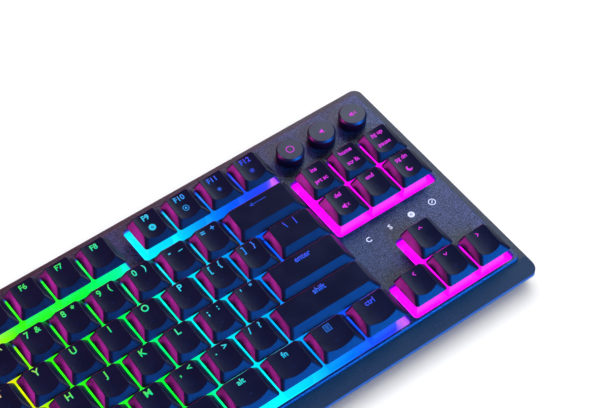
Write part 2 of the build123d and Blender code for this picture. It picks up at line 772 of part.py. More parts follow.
with BuildPart() as bottom_case:
    add(case_sheet(0.0, underside, frame_bottom - underside, case_corner))
    chamfer(bottom_case.faces().sort_by(Axis.Z)[0].edges().sort_by(Axis.Y)[1:], bottom_chamfer)
    add(
        front_wedge([
            (-half_depth - 1, frame_bottom),
            (-half_depth, frame_bottom),
            (-half_depth + undercut, underside),
            (-half_depth + undercut, underside - 1),
            (-half_depth - 1, underside - 1),
        ]),
        mode=Mode.SUBTRACT,
    )
    with BuildSketch(Plane.XY.offset(floor_top)):
        with Locations((0, (cavity_front + half_depth - case_wall) / 2)):
            RectangleRounded(case_width - 2 * case_wall, half_depth - case_wall - cavity_front, 2.0)
    extrude(amount=frame_bottom - floor_top, mode=Mode.SUBTRACT)
    # posts and screw tubes that carry the circuit board
    with BuildSketch(Plane.XY.offset(floor_top)):
        with Locations(*post_places):
            Circle(post_radius)
        with Locations(*screw_places):
            Circle(screw_boss_radius)
    extrude(amount=board_clearance)
    with BuildSketch(Plane.XY.offset(underside)):
        with Locations(*screw_places):
            Circle(screw_radius + screw_clear)
    extrude(amount=floor_thickness + board_clearance, mode=Mode.SUBTRACT)
    with BuildSketch(Plane.XY.offset(underside)):
        with Locations(*screw_places):
            Circle(screw_head_radius + screw_clear)
    extrude(amount=screw_head_height + 0.2, mode=Mode.SUBTRACT)
    # pockets for the flip feet, with a hole for a pin in each side wall
    with BuildSketch(Plane.XY.offset(floor_top)):
        with Locations(*[(x, pocket_middle) for x, _ in foot_places]):
            Rectangle(pocket_width + 2 * pocket_wall, pocket_length + 2 * pocket_wall)
    extrude(amount=underside + pocket_depth + pocket_wall - floor_top)
    with BuildSketch(Plane.XY.offset(underside)):
        with Locations(*[(x, pocket_middle) for x, _ in foot_places]):
            Rectangle(pocket_width, pocket_length)
    extrude(amount=pocket_depth, mode=Mode.SUBTRACT)
    for x, y in foot_places:
        with BuildSketch(Plane.YZ.offset(x)):
            with Locations((y, foot_axis_z)):
                Circle(foot_pin_radius + foot_pin_gap)
        extrude(amount=foot_width / 2 + slide_gap + foot_pin_length, both=True, mode=Mode.SUBTRACT)
    # seats for the rubber feet
    with BuildSketch(Plane.XY.offset(underside)):
        with Locations(*pad_places):
            SlotOverall(pad_size[0] + 0.1, pad_size[1] + 0.1)
    extrude(amount=pad_recess, mode=Mode.SUBTRACT)
    # the socket's opening in the back wall
    with BuildSketch(socket_plane.offset(-1)):
        SlotOverall(socket_width + 2 * fit_gap, socket_height + 2 * fit_gap)
    extrude(amount=case_wall + 2, mode=Mode.SUBTRACT)
write_piece(bottom_case.part, "bottom_case")

with BuildPart() as rubber_feet:
    with BuildSketch():
        with Locations(*pad_places):
            SlotOverall(*pad_size)
    extrude(amount=pad_drop + pad_recess)
    chamfer(rubber_feet.faces().filter_by(Axis.Z).group_by(Axis.Z)[0].edges(), 0.4)
write_piece(rubber_feet.part, "rubber_feet")

head_top = underside + screw_head_height + 0.2
with BuildPart() as one_screw:
    with BuildSketch(Plane.XY.offset(head_top - screw_head_height)):
        Circle(screw_head_radius)
    extrude(amount=screw_head_height)
    with BuildSketch(Plane.XY.offset(head_top - screw_head_height)):
        Rectangle(2.6, 0.6)
        Rectangle(0.6, 2.6)
    extrude(amount=0.8, mode=Mode.SUBTRACT)
    with BuildSketch(Plane.XY.offset(head_top)):
        Circle(screw_radius)
    extrude(amount=screw_length)
with BuildPart() as case_screws:
    with Locations(*[(x, y, 0) for x, y in screw_places]):
        add(one_screw.part)
write_piece(case_screws.part, "case_screws")

# a flip foot lies in its pocket, and its pins turn in the pocket's side walls
pin_reach = foot_width / 2 + slide_gap + foot_pin_length - 0.15
plate_bottom = underside + 0.3
for name, (x, y) in zip(("flip_foot_left", "flip_foot_right"), foot_places):
    with BuildPart() as flip_foot:
        with BuildSketch(Plane.XY.offset(plate_bottom)):
            with Locations((x, y - foot_length / 2)):
                Rectangle(foot_width, foot_length)
        extrude(amount=foot_thickness)
        with BuildSketch(Plane.YZ.offset(x)):
            with Locations((y, foot_axis_z)):
                Circle(foot_barrel)
        extrude(amount=foot_width / 2, both=True)
        with BuildSketch(Plane.YZ.offset(x)):
            with Locations((y, foot_axis_z)):
                Circle(foot_pin_radius)
        extrude(amount=pin_reach, both=True)
        # a finger scoop and lightening slots
        with BuildSketch(Plane.XY.offset(plate_bottom)):
            with Locations((x, y - foot_length)):
                SlotOverall(14.0, 5.0)
        extrude(amount=foot_thickness / 2, mode=Mode.SUBTRACT)
    write_piece(flip_foot.part, name)
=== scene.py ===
# %% [markdown]
# # A lit mechanical keyboard
#
# The real keyboard is a black case with a speckled cover, low keycaps, and a key bed that glows between
# them.  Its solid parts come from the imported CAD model, already in their places.  This lesson gives them
# their finishes, draws the lit legends, and sets up the camera and the studio.
#
# Blender counts in metres here, so a length in millimetres is written as a number times mm.

import json
from math import cos, pi, radians, sin

import bmesh
import bpy
from mathutils import Matrix, Vector
from mathutils.bvhtree import BVHTree


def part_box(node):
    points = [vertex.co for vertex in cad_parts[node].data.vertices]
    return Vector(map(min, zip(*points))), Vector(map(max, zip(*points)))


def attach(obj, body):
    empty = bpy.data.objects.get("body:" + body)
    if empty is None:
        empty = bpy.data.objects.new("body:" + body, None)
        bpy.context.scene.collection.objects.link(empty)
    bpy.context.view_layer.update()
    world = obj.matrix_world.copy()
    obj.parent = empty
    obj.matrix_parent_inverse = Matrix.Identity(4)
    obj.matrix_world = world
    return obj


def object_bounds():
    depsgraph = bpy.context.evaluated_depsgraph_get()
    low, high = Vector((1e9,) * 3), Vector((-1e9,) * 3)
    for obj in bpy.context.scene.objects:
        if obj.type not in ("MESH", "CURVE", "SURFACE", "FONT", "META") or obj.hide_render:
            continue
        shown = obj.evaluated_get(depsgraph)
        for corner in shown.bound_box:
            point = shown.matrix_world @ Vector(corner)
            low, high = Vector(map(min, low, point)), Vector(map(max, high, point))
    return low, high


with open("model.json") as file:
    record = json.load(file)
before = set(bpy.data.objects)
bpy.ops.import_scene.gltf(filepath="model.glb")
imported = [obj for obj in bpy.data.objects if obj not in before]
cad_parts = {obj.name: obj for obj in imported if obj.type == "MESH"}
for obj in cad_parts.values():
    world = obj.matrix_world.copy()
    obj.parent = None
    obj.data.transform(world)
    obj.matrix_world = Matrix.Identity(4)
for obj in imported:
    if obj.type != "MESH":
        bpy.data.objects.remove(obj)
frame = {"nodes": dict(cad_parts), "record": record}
cad_low, cad_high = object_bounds()
nodes = frame["nodes"]
bodies = {name: row for row, names in frame["record"]["behaviour"]["bodies"].items() for name in names}
mm = 0.001
key_pitch = 19.05 * mm
print("CAD box", tuple(cad_low), tuple(cad_high))

# %% [markdown]
# The camera stands to the left of the keyboard and looks down at its right half.  It could be given a
# place and a turn, but those are hard to tune.  A distance and two angles from the point it looks at say
# the same, and each can be changed alone.  The lens is long, so that the rows stay nearly parallel.

# %% Camera
scene = bpy.context.scene
look_at = Vector((112.2, 20.4, 23.6)) * mm
camera_distance = 871.1 * mm
camera_elevation = radians(52.10)
camera_heading = radians(37.12)
camera_roll = radians(0.41)
focal_length = 108.6
sensor_width = 36.0

lens = bpy.data.cameras.new("camera")
lens.lens = focal_length
lens.sensor_width = sensor_width
camera = bpy.data.objects.new("camera", lens)
scene.collection.objects.link(camera)
back_away = Vector((
    -sin(camera_heading) * cos(camera_elevation),
    -cos(camera_heading) * cos(camera_elevation),
    sin(camera_elevation),
))
camera_place = look_at + back_away * camera_distance
turn = (-back_away).to_track_quat("-Z", "Y").to_matrix().to_4x4()
camera.matrix_world = Matrix.Translation(camera_place) @ turn @ Matrix.Rotation(camera_roll, 4, "Z")
scene.camera = camera
print("camera at", tuple(camera_place), "with a lens of", focal_length, "mm")

# %% [markdown]
# The key bed is lit in pure colours.  A filmic view would wash them out towards white, so the standard
# view is used, which shows a saturated lamp as saturated.

# %% View
scene.view_settings.view_transform = "Standard"
print("view", scene.view_settings.view_transform)


# %% [markdown]
# Every finish is a tree of shader nodes.  Written out in full, each tree takes a page, so five helpers
# say what repeats: they add a node, start a material, start a node group, place a group in a material,
# and fill a colour ramp.

# %% Shader helpers
def add_node(tree, kind, **settings):
    """A new shader node with its settings, and its input values given by socket name."""
    node = tree.nodes.new(kind)
    for name, value in settings.items():
        if hasattr(node, name):
            setattr(node, name, value)
        else:
            node.inputs[name.replace("_", " ")].default_value = value
    return node


def start_material(name, colour, roughness, metallic=0.0):
    """A material with one Principled shader. Returns the material, its tree and the shader."""
    material = bpy.data.materials.new(name)
    material.use_nodes = True
    tree = material.node_tree
    shader = tree.nodes["Principled BSDF"]
    shader.inputs["Base Color"].default_value = (*colour, 1.0)
    shader.inputs["Roughness"].default_value = roughness
    shader.inputs["Metallic"].default_value = metallic
    return material, tree, shader


def start_group(name, inputs, outputs):
    """A shader node group with named sockets. Returns the group and its input and output nodes."""
    group = bpy.data.node_groups.new(name, "ShaderNodeTree")
    for label, kind, value in inputs:
        socket = group.interface.new_socket(label, in_out="INPUT", socket_type=kind)
        socket.default_value = value
    for label, kind in outputs:
        group.interface.new_socket(label, in_out="OUTPUT", socket_type=kind)
    print("group", name, "puts out", [label for label, _ in outputs])
    return group, group.nodes.new("NodeGroupInput"), group.nodes.new("NodeGroupOutput")


def use_group(tree, group, **values):
    """Place a group in a material, with its own input values."""
    node = tree.nodes.new("ShaderNodeGroup")
    node.node_tree = group
    for name, value in values.items():
        node.inputs[name.replace("_", " ")].default_value = value
    return node


def fill_ramp(ramp, stops):
    """Give a colour ramp its stops, each a place from 0 to 1 and a colour."""
    elements = ramp.color_ramp.elements
    ready = len(elements)
    for number, (place, colour) in enumerate(stops):
        stop = elements[number] if number < ready else elements.new(place)
        stop.position = place
        stop.color = (*colour, 1.0)


helpers = (add_node, start_material, start_group, use_group, fill_ramp)
print("helpers", [helper.__name__ for helper in helpers])


# %% [markdown]
# The lamps under the keys run through the rainbow, from red at the left to magenta at the right.  Each
# lamp could be a light of its own, but a hundred small lights are slow and noisy.  The colour depends
# only on how far across the keyboard a point is, so one group works it out from Object X, and the bed,
# the switches, the legends and the cover's wells all use it.

# %% Lamp colours, each with its distance from the left in key pitches
bed_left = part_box("keys_number_row")[0].x
lamp_colours = [
    (0.0, (1.0, 0.02, 0.0)),
    (2.5, (1.0, 0.20, 0.0)),
    (5.6, (1.0, 0.50, 0.0)),
    (6.4, (0.95, 0.80, 0.0)),
    (6.9, (0.30, 1.0, 0.0)),
    (7.4, (0.03, 1.0, 0.0)),
    (9.4, (0.0, 1.0, 0.04)),
    (10.2, (0.0, 1.0, 0.30)),
    (11.0, (0.0, 0.86, 1.0)),
    (12.0, (0.0, 0.66, 1.0)),
    (12.7, (0.0, 0.30, 1.0)),
    (13.6, (0.0, 0.10, 1.0)),
    (14.72, (0.02, 0.04, 1.0)),
    (14.86, (0.35, 0.10, 1.0)),
    (15.05, (0.55, 0.10, 0.95)),
    (15.14, (1.0, 0.0, 1.0)),
    (18.5, (1.0, 0.0, 0.9)),
]
bed_pitches = lamp_colours[-1][0]


def lamp_colour_group():
    """Object X in, lamp colour out."""
    group, _, exit_node = start_group("lamp colour", [], [("Colour", "NodeSocketColor")])
    place = add_node(group, "ShaderNodeTexCoord")
    split = add_node(group, "ShaderNodeSeparateXYZ")
    bed_right = bed_left + bed_pitches * key_pitch
    span = add_node(group, "ShaderNodeMapRange", From_Min=bed_left, From_Max=bed_right)
    ramp = add_node(group, "ShaderNodeValToRGB")
    fill_ramp(ramp, [(pitches / bed_pitches, colour) for pitches, colour in lamp_colours])
    group.links.new(place.outputs["Object"], split.inputs["Vector"])
    group.links.new(split.outputs["X"], span.inputs["Value"])
    group.links.new(span.outputs["Result"], ramp.inputs["Fac"])
    group.links.new(ramp.outputs["Color"], exit_node.inputs["Colour"])
    return group


lamp_colour = lamp_colour_group()
print("lamp colours", len(lamp_colours), "over", bed_pitches, "key pitches")


# %% [markdown]
# Moulded plastic and sprayed paint have a fine grain that can be felt.  As real bumps it would take
# millions of faces, so a Bump node shows it.  The group adds fine noise to coarser noise for the height,
# and puts the coarser noise out alone, as a mask that shifts the roughness and the colour a little.

# %% Grain
fine_detail = 2.0
coarse_detail = 3.0


def grain_group():
    """Fine noise over coarser noise: a height, and a mask from 0 to 1."""
    inputs = [("Scale", "NodeSocketFloat", 3000.0), ("Coarse Scale", "NodeSocketFloat", 300.0)]
    outputs = [("Height", "NodeSocketFloat"), ("Mask", "NodeSocketFloat")]
    group, entry, exit_node = start_group("grain", inputs, outputs)
    place = add_node(group, "ShaderNodeTexCoord")
    fine = add_node(group, "ShaderNodeTexNoise", Detail=fine_detail)
    coarse = add_node(group, "ShaderNodeTexNoise", Detail=coarse_detail)
    both = add_node(group, "ShaderNodeMath", operation="ADD")
    for noise, label in ((fine, "Scale"), (coarse, "Coarse Scale")):
        group.links.new(place.outputs["Object"], noise.inputs["Vector"])
        group.links.new(entry.outputs[label], noise.inputs["Scale"])
    group.links.new(fine.outputs["Fac"], both.inputs[0])
    group.links.new(coarse.outputs["Fac"], both.inputs[1])
    group.links.new(both.outputs["Value"], exit_node.inputs["Height"])
    group.links.new(coarse.outputs["Fac"], exit_node.inputs["Mask"])
    return group


grain = grain_group()


# %% [markdown]
# No moulded edge is perfectly sharp: its mould rounds it.  The CAD's smallest edges are sharp, and to bevel
# their meshes would change the CAD's shape.  The Bevel shader node only bends the normal, and where the
# bent and the true normal differ, the mask marks an edge, which gets a painted highlight: a paler colour.

# %% Soft edges
bevel_samples = 4
flat_match = 0.995
rolled_match = 0.90


def edge_group():
    """Softened edges: a normal that rolls over each sharp edge, and a mask that is 1 along it."""
    inputs = [("Radius", "NodeSocketFloat", 0.3 * mm)]
    outputs = [("Normal", "NodeSocketVector"), ("Mask", "NodeSocketFloat")]
    group, entry, exit_node = start_group("soft edges", inputs, outputs)
    rolled = add_node(group, "ShaderNodeBevel", samples=bevel_samples)
    facing = add_node(group, "ShaderNodeNewGeometry")
    match = add_node(group, "ShaderNodeVectorMath", operation="DOT_PRODUCT")
    mask = add_node(group, "ShaderNodeMapRange", From_Min=flat_match, From_Max=rolled_match)
    group.links.new(entry.outputs["Radius"], rolled.inputs["Radius"])
    group.links.new(rolled.outputs["Normal"], match.inputs[0])
    group.links.new(facing.outputs["Normal"], match.inputs[1])
    group.links.new(match.outputs["Value"], mask.inputs["Value"])
    group.links.new(rolled.outputs["Normal"], exit_node.inputs["Normal"])
    group.links.new(mask.outputs["Result"], exit_node.inputs["Mask"])
    return group


soft_edges = edge_group()


# %% [markdown]
# Two helpers place these groups in a material.  The grain is placed first, because it makes the Bump
# node that the rolled normal is then fed into.  The grey of the noise seldom leaves the middle of its
# range, so the roughness is spread over that middle.

# %% Grain and edges in a material
grey_low = 0.3
grey_high = 0.7


def add_grain(tree, shader, scale, depth, roughness, coarse=300.0):
    """Bump and roughness from the grain group. The roughness is given as its lowest and highest."""
    source = use_group(tree, grain, Scale=scale, Coarse_Scale=coarse)
    bump = add_node(tree, "ShaderNodeBump", Distance=depth)
    spread = add_node(tree, "ShaderNodeMapRange", From_Min=grey_low, From_Max=grey_high)
    spread.inputs["To Min"].default_value = roughness[0]
    spread.inputs["To Max"].default_value = roughness[1]
    tree.links.new(source.outputs["Height"], bump.inputs["Height"])
    tree.links.new(bump.outputs["Normal"], shader.inputs["Normal"])
    tree.links.new(source.outputs["Mask"], spread.inputs["Value"])
    tree.links.new(spread.outputs["Result"], shader.inputs["Roughness"])
    return source


def paint_edge_highlight(tree, shader, colour_source, radius, edge_highlight_colour, amount=0.6):
    """Edges that roll over, with a painted highlight that makes them paler; gives the colour to the shader.
    """
    edges = use_group(tree, soft_edges, Radius=radius)
    share = add_node(tree, "ShaderNodeMath", operation="MULTIPLY")
    share.inputs[1].default_value = amount
    highlighted = add_node(tree, "ShaderNodeMix", data_type="RGBA", B=(*edge_highlight_colour, 1.0))
    tree.links.new(edges.outputs["Mask"], share.inputs[0])
    tree.links.new(share.outputs["Value"], highlighted.inputs["Factor"])
    tree.links.new(colour_source, highlighted.inputs["A"])
    tree.links.new(highlighted.outputs["Result"], shader.inputs["Base Color"])
    for node in tree.nodes:
        if node.bl_idname == "ShaderNodeBump":
            tree.links.new(edges.outputs["Normal"], node.inputs["Normal"])


print("roughness spread over greys", grey_low, "to", grey_high)


# %% [markdown]
# The keycaps, buttons, case and chips are all black plastic, but from different moulds: the caps are
# the smoothest, and the frame round the cover has a coarse, mottled grain.  One function makes them all,
# and each call gives its own colour, grain, roughness and edge.

# %% Moulded plastics
highlight_gain = 2.0
highlight_lift = 0.004


def moulded(
    name, colour, scale=5000.0, depth=0.00003, rough=(0.38, 0.52), coarse=120.0, edge=0.25 * mm, drift=0.15
):
    """Grained moulded plastic whose colour drifts a little."""
    material, tree, shader = start_material(name, colour, sum(rough) / 2)
    source = add_grain(tree, shader, scale, depth, rough, coarse)
    darker = [value * (1.0 - drift) for value in colour]
    paler = [value * (1.0 + drift) for value in colour]
    tint = add_node(tree, "ShaderNodeMix", data_type="RGBA", A=(*darker, 1.0), B=(*paler, 1.0))
    tree.links.new(source.outputs["Mask"], tint.inputs["Factor"])
    # The paler edge colour is a painted highlight, laid along every edge of the plastic.
    edge_highlight_colour = [min(1.0, value * highlight_gain + highlight_lift) for value in colour]
    paint_edge_highlight(tree, shader, tint.outputs["Result"], edge, edge_highlight_colour)
    print("plastic", name, colour)
    return material


keycap_black = moulded("keycap black", (0.005, 0.005, 0.010), rough=(0.28, 0.38))
button_black = moulded("button black", (0.006, 0.006, 0.012), rough=(0.30, 0.42))
case_black = moulded("case black", (0.012, 0.012, 0.015), scale=2500.0, depth=0.00006, rough=(0.5, 0.65))
frame_black = moulded(
    "frame black",
    (0.036, 0.034, 0.018),
    scale=2600.0,
    depth=0.00010,
    rough=(0.38, 0.54),
    coarse=2300.0,
    edge=0.6 * mm,
    drift=1.0,
)
chip_black = moulded("chip black", (0.01, 0.01, 0.01))
foot_rubber = moulded("foot rubber", (0.014, 0.014, 0.014), scale=4000.0, rough=(0.75, 0.9))
board_white = moulded("board white", (0.78, 0.80, 0.78), rough=(0.35, 0.45))
lens_clear = moulded("indicator lens", (0.02, 0.02, 0.05), rough=(0.15, 0.25))


# %% [markdown]
# The frame's sloping lip ends in a narrow upright edge, which a painted highlight makes shine as if in
# the blue light.  It could be a node of its own in the CAD, but on the real keyboard it is the same
# moulding.  A mask picks the faces that look forwards, which on the frame are that edge alone, and paints
# them paler.

# %% Painted highlight on the front edge
front_edge_highlight = (0.16, 0.20, 0.22)
slanted_forwards = -0.6
straight_forwards = -0.95


def paint_front_highlight(material, colour):
    """Paint a highlight: mix a paler colour into the faces of a material that look forwards."""
    tree = material.node_tree
    shader = tree.nodes["Principled BSDF"]
    before = shader.inputs["Base Color"].links[0].from_socket
    facing = add_node(tree, "ShaderNodeNewGeometry")
    split = add_node(tree, "ShaderNodeSeparateXYZ")
    forwards = add_node(
        tree, "ShaderNodeMapRange", From_Min=slanted_forwards, From_Max=straight_forwards
    )
    pale = add_node(tree, "ShaderNodeMix", data_type="RGBA", B=(*colour, 1.0))
    tree.links.new(facing.outputs["True Normal"], split.inputs["Vector"])
    tree.links.new(split.outputs["Y"], forwards.inputs["Value"])
    tree.links.new(forwards.outputs["Result"], pale.inputs["Factor"])
    tree.links.new(before, pale.inputs["A"])
    tree.links.new(pale.outputs["Result"], shader.inputs["Base Color"])


paint_front_highlight(frame_black, front_edge_highlight)
print("front edge highlight", front_edge_highlight)


# %% [markdown]
# The cover is one plate with wells cut through it, and only the walls of the wells catch the light of
# the key bed.  Its outer edge is as upright as they are, so the normal can't tell them apart, but it is
# known where it lies.  The mask is 1 for every point more than a millimetre inside the cover's outline.

# %% Mask for the wells
cover_low, cover_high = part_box("top_cover")
outline_margin = 1.0 * mm


def well_mask(tree, split):
    """1 where a point is inside the cover's outline by more than the margin, else 0."""
    cover_middle = (cover_low + cover_high) / 2
    half = (cover_high - cover_low) / 2
    tests = []
    for axis in (0, 1):
        offset = add_node(tree, "ShaderNodeMath", operation="SUBTRACT")
        offset.inputs[1].default_value = cover_middle[axis]
        size = add_node(tree, "ShaderNodeMath", operation="ABSOLUTE")
        test = add_node(tree, "ShaderNodeMath", operation="LESS_THAN")
        test.inputs[1].default_value = half[axis] - outline_margin
        tree.links.new(split.outputs["XYZ"[axis]], offset.inputs[0])
        tree.links.new(offset.outputs["Value"], size.inputs[0])
        tree.links.new(size.outputs["Value"], test.inputs[0])
        tests.append(test.outputs["Value"])
    both = add_node(tree, "ShaderNodeMath", operation="MULTIPLY")
    tree.links.new(tests[0], both.inputs[0])
    tree.links.new(tests[1], both.inputs[1])
    return both.outputs["Value"]


print("cover", tuple(cover_low), tuple(cover_high))


# %% [markdown]
# The light on the well walls is strongest at the bed, and turns to deep blue as it fades towards the
# rim.  Bounced light alone would need many samples to show it, so the walls glow a little themselves, by
# their height.  The node tree mixes three colours: the lamps' own, the deep blue, and none on the rim.

# %% Glow on the well walls
rim_height = cover_high.z
blue_below_rim = 0.9 * mm
full_below_rim = 2.6 * mm
rim_starts_below = 0.20 * mm
rim_ends_below = 0.02 * mm
deep_blue = (0.035, 0.0, 0.42, 1.0)
no_light = (0.0, 0.0, 0.0, 1.0)


def light_wells(tree, shader, place):
    """Feed the shader's emission with lamp colour on the walls below the rim."""
    lamps = use_group(tree, lamp_colour)
    split = add_node(tree, "ShaderNodeSeparateXYZ")
    height = add_node(tree, "ShaderNodeMapRange")
    height.inputs["From Min"].default_value = rim_height - blue_below_rim
    height.inputs["From Max"].default_value = rim_height - full_below_rim
    rim = add_node(tree, "ShaderNodeMapRange")
    rim.inputs["From Min"].default_value = rim_height - rim_ends_below
    rim.inputs["From Max"].default_value = rim_height - rim_starts_below
    to_lamp = add_node(tree, "ShaderNodeMix", data_type="RGBA", A=deep_blue)
    to_dark = add_node(tree, "ShaderNodeMix", data_type="RGBA", A=no_light)
    masked = add_node(tree, "ShaderNodeMath", operation="MULTIPLY")
    tree.links.new(place.outputs["Object"], split.inputs["Vector"])
    tree.links.new(split.outputs["Z"], height.inputs["Value"])
    tree.links.new(split.outputs["Z"], rim.inputs["Value"])
    tree.links.new(height.outputs["Result"], to_lamp.inputs["Factor"])
    tree.links.new(lamps.outputs["Colour"], to_lamp.inputs["B"])
    tree.links.new(rim.outputs["Result"], masked.inputs[0])
    tree.links.new(well_mask(tree, split), masked.inputs[1])
    tree.links.new(masked.outputs["Value"], to_dark.inputs["Factor"])
    tree.links.new(to_lamp.outputs["Result"], to_dark.inputs["B"])
    tree.links.new(to_dark.outputs["Result"], shader.inputs["Emission Color"])
    shader.inputs["Emission Strength"].default_value = 1.0


print("walls glow from", full_below_rim, "m below the rim, which is at", rim_height)


# %% [markdown]
# The cover's paint is dark with light and dark flakes in it.  An image of the flakes would blur up close
# and show where it repeats, so noise makes them: a colour ramp with its two stops close together turns
# the soft noise into separate specks.

# %% Speckled cover paint
speck_scale = 2300.0
speck_detail = 3.0
speck_stops = [(0.40, (0.005, 0.006, 0.010)), (0.61, (0.085, 0.098, 0.125))]
mean_paint = (0.03, 0.034, 0.045)
cover_edge_highlight = (0.12, 0.14, 0.18)
paint_metallic = 0.3
cover_highlight_share = 0.5


def cover_paint():
    """Speckled paint on top, and lamp colour on the walls below the rim."""
    material, tree, shader = start_material("cover paint", mean_paint, 0.5, paint_metallic)
    add_grain(tree, shader, scale=3200.0, depth=0.00008, roughness=(0.36, 0.50), coarse=900.0)
    place = add_node(tree, "ShaderNodeTexCoord")
    specks = add_node(tree, "ShaderNodeTexNoise", Scale=speck_scale, Detail=speck_detail)
    colours = add_node(tree, "ShaderNodeValToRGB")
    fill_ramp(colours, speck_stops)
    tree.links.new(place.outputs["Object"], specks.inputs["Vector"])
    tree.links.new(specks.outputs["Fac"], colours.inputs["Fac"])
    # The paler edge colour is a painted highlight along the cover's edges.
    paint_edge_highlight(tree, shader, colours.outputs["Color"], 0.35 * mm, cover_edge_highlight, cover_highlight_share)
    light_wells(tree, shader, place)
    return material


cover_coat = cover_paint()
print("cover paint nodes", len(cover_coat.node_tree.nodes))


# %% [markdown]
# The bed is a white sheet lit from below, and the switch housings are clear and carry its light up to
# the caps.  Clear plastic over real lamps would be true but slow, and at this size it looks like an even
# glow, so these pieces emit the lamps' colour.  A strength near 1 shows it without burning it out.

# %% Glowing pieces
def glowing(name, base, strength, roughness=0.4):
    """Plastic that shines in the lamps' colour."""
    material, tree, shader = start_material(name, base, roughness)
    lamps = use_group(tree, lamp_colour)
    tree.links.new(lamps.outputs["Colour"], shader.inputs["Emission Color"])
    shader.inputs["Emission Strength"].default_value = strength
    add_grain(tree, shader, scale=1500.0, depth=0.00002, roughness=(roughness, roughness + 0.1))
    print("glow", name, "strength", strength)
    return material


bed_glow = glowing("lit diffuser", (0.2, 0.2, 0.2), 1.25)
switch_glow = glowing("lit switch housing", (0.1, 0.1, 0.1), 0.9)
legend_glow = glowing("lit legend", (0.05, 0.05, 0.05), 0.75)
lamp_white = glowing("lamp body", (0.3, 0.3, 0.3), 1.0)


# %% [markdown]
# The stabiliser wires, the screws, the springs and the socket's shell are bare steel, drawn or pressed.
# The contact leaves are plated with a yellow metal.  Bare metal has no colour under its surface, so
# Metallic is 1 and the base colour is the colour of its reflection.

# %% Metals
def metal(name, colour, roughness):
    """Drawn or plated metal whose shine is uneven."""
    material, tree, shader = start_material(name, colour, roughness, 1.0)
    add_grain(tree, shader, scale=1800.0, depth=0.00001, roughness=(roughness - 0.06, roughness + 0.08))
    print("metal", name, colour)
    return material


steel = metal("steel", (0.55, 0.55, 0.58), 0.3)
plated_leaf = metal("plated leaf", (0.8, 0.6, 0.3), 0.3)

# %% [markdown]
# Each CAD node is one kind of piece, so it gets one finish, in its only material slot.  The list names
# the nodes whose finish their names don't tell.  Keys and buttons go by the start of their names, and
# whatever is left is steel.

# %% Give each node its finish
finishes = {
    "top_cover": cover_coat,
    "side_frame": frame_black,
    "bottom_case": case_black,
    "flip_foot_left": case_black,
    "flip_foot_right": case_black,
    "rubber_feet": foot_rubber,
    "circuit_board": board_white,
    "light_diffuser": bed_glow,
    "switch_bases": switch_glow,
    "switch_tops": switch_glow,
    "stabiliser_housings": switch_glow,
    "key_lights": lamp_white,
    "indicator_lenses": lens_clear,
    "media_switches": chip_black,
    "controller_chips": chip_black,
    "switch_contacts": plated_leaf,
}
for name, node in nodes.items():
    finish = steel
    if name in finishes:
        finish = finishes[name]
    elif name.startswith("key"):
        finish = keycap_black
    elif name.startswith("button_"):
        finish = button_black
    node.data.materials.clear()
    node.data.materials.append(finish)
print("finished nodes", len(nodes))


# %% [markdown]
# The legends are windows in the caps that let the lamps through.  An image on each cap would blur up
# close, so they are meshes.  Letters and digits come from a text curve, made a mesh while it still lies
# flat at the origin.  A small offset thickens the strokes to those of a keycap.

# %% Flat text
stroke_swell = 0.022
curve_steps = 4


def text_mesh(words, size):
    """Flat text, centred, one millimetre per unit."""
    curve = bpy.data.curves.new("words", "FONT")
    curve.body = words
    curve.size = size
    curve.align_x = "CENTER"
    curve.align_y = "CENTER"
    curve.offset = stroke_swell * size
    curve.resolution_u = curve_steps
    holder = bpy.data.objects.new("words", curve)
    scene.collection.objects.link(holder)
    bpy.context.view_layer.update()
    mesh = bpy.data.meshes.new_from_object(holder)
    bpy.data.objects.remove(holder)
    bpy.data.curves.remove(curve)
    return mesh


print("strokes swell by", stroke_swell, "of the text's size")


# %% [markdown]
# Arrows, loudspeakers and the other signs aren't in the font, so they are drawn flat with bmesh, in
# millimetres.  Each is kept as a small mesh under its name, to be copied wherever a key needs it.  Two
# helpers draw a face through a few corners and a plain bar.

# %% Signs, and a helper for their faces
signs = {}


def outline(bm, points):
    """A flat face through a few corners."""
    bm.faces.new([bm.verts.new((x, y, 0.0)) for x, y in points])


def bar(bm, low_x, low_y, high_x, high_y):
    """A flat rectangle."""
    outline(bm, [(low_x, low_y), (high_x, low_y), (high_x, high_y), (low_x, high_y)])


def keep_sign(name, draw, *values, **settings):
    """Draw a sign flat, in millimetres, and keep its mesh under a name."""
    bm = bmesh.new()
    draw(bm, *values, **settings)
    mesh = bpy.data.meshes.new(name)
    bm.to_mesh(mesh)
    bm.free()
    signs[name] = mesh
    print("sign", name, "has", len(mesh.polygons), "faces")


print("signs kept so far", len(signs))


# %% [markdown]
# Several signs are rings and dots on one centre.  A ring is the band between two circles, which the
# bridge operator fills, and a dot is a circle with its end capped.

# %% Round signs
ring_steps = 24
big_ring_steps = 32
dot_steps = 20


def round_sign(bm, rings, dots=(), steps=ring_steps):
    """Rings given as (radius, width), and dots given by their radius, on one centre."""
    for radius, width in rings:
        outer = bmesh.ops.create_circle(bm, segments=steps, radius=radius)["verts"]
        inner = bmesh.ops.create_circle(bm, segments=steps, radius=radius - width)["verts"]
        edges = {edge for vert in outer + inner for edge in vert.link_edges}
        bmesh.ops.bridge_loops(bm, edges=list(edges))
    for radius in dots:
        bmesh.ops.create_circle(bm, cap_ends=True, segments=dot_steps, radius=radius)


def slashed_ring(bm):
    """A ring with a short slanted bar in it."""
    round_sign(bm, [(1.75, 0.4)])
    outline(bm, [(-0.75, -0.5), (-0.45, -0.75), (0.75, 0.5), (0.45, 0.75)])


keep_sign("big ring", round_sign, [(2.2, 0.4)], steps=big_ring_steps)
keep_sign("dot in ring", round_sign, [(1.6, 0.32)], [0.6])
keep_sign("full disc", round_sign, [(1.75, 1.15)], [0.3])
keep_sign("dim lamp", round_sign, [(1.0, 0.18)], [0.55])
keep_sign("bright lamp", round_sign, [(1.3, 0.2)], [0.7])
keep_sign("slashed ring", slashed_ring)


